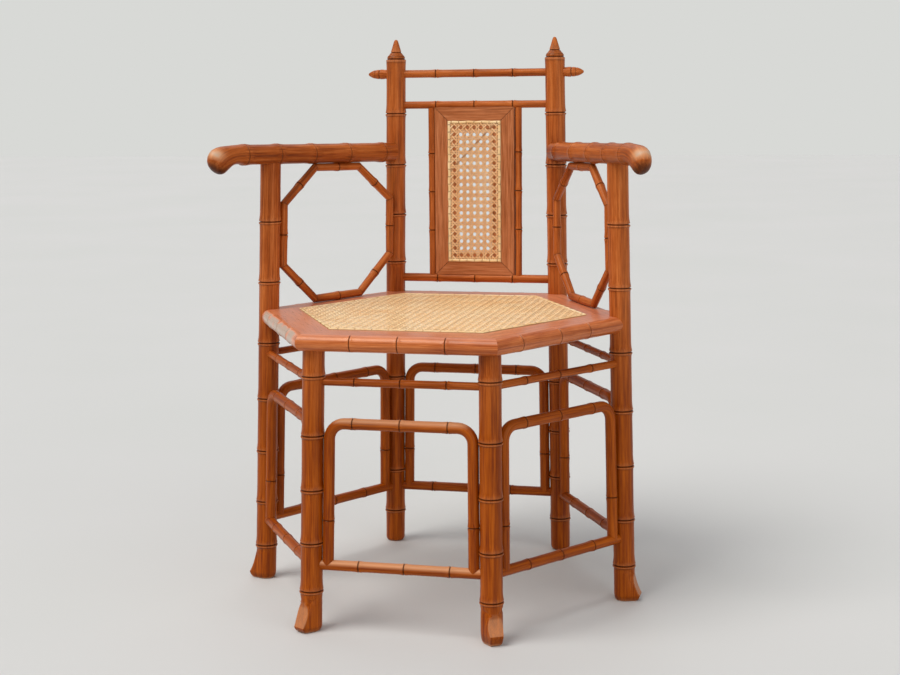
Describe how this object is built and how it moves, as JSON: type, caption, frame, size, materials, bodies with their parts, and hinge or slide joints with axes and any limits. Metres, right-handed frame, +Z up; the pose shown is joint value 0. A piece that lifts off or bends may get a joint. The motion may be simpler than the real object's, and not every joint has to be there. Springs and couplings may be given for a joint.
{
  "type": "corner armchair",
  "caption": "Hexagonal armchair of carved imitation bamboo with caned seat and back panel, round arms with drooping knuckles, and arched braces between its splayed posts.",
  "frame": {"origin": "middle of the chair's bounding box at floor level", "axes": "+Z up, +Y towards the chair's back, +X to the right as seen from the front. Left and right in the node names are as seen from the front too."},
  "size_m": [0.696, 0.5636, 0.876],
  "materials": {
    "varnished_wood": "orange-brown satin varnish, worn at the arms and feet",
    "woven_cane": "straw-coloured open weave",
    "binder_cane": "glossy pale split cane"
  },
  "bodies": {
    "root": {"arch_back": "varnished_wood", "arch_back_left": "varnished_wood", "arch_back_right": "varnished_wood", "arch_front": "varnished_wood", "arch_front_left": "varnished_wood", "arch_front_right": "varnished_wood", "arm_left": "varnished_wood", "arm_post_left": "varnished_wood", "arm_post_right": "varnished_wood", "arm_right": "varnished_wood", "back_binder": "binder_cane", "back_cane": "woven_cane", "back_lower_rail": "varnished_wood", "back_post_left": "varnished_wood", "back_post_right": "varnished_wood", "back_rail_tips": "varnished_wood", "back_stile_left": "varnished_wood", "back_stile_right": "varnished_wood", "back_top_rail": "varnished_wood", "back_upper_rail": "varnished_wood", "front_leg_left": "varnished_wood", "front_leg_right": "varnished_wood", "low_stretcher_back": "varnished_wood", "low_stretcher_back_left": "varnished_wood", "low_stretcher_back_right": "varnished_wood", "low_stretcher_front": "varnished_wood", "low_stretcher_front_left": "varnished_wood", "low_stretcher_front_right": "varnished_wood", "panel_bottom": "varnished_wood", "panel_left": "varnished_wood", "panel_right": "varnished_wood", "panel_top": "varnished_wood", "ring_left_bottom": "varnished_wood", "ring_left_front": "varnished_wood", "ring_left_rear": "varnished_wood", "ring_left_top": "varnished_wood", "ring_right_bottom": "varnished_wood", "ring_right_front": "varnished_wood", "ring_right_rear": "varnished_wood", "ring_right_top": "varnished_wood", "seat_binder": "binder_cane", "seat_board_back": "varnished_wood", "seat_board_back_left": "varnished_wood", "seat_board_back_right": "varnished_wood", "seat_board_front": "varnished_wood", "seat_board_front_left": "varnished_wood", "seat_board_front_right": "varnished_wood", "seat_cane": "woven_cane", "seat_mitre_tongues": "varnished_wood", "upper_stretcher_back": "varnished_wood", "upper_stretcher_back_left": "varnished_wood", "upper_stretcher_back_right": "varnished_wood", "upper_stretcher_front": "varnished_wood", "upper_stretcher_front_left": "varnished_wood", "upper_stretcher_front_right": "varnished_wood"}
  },
  "joints": []
}
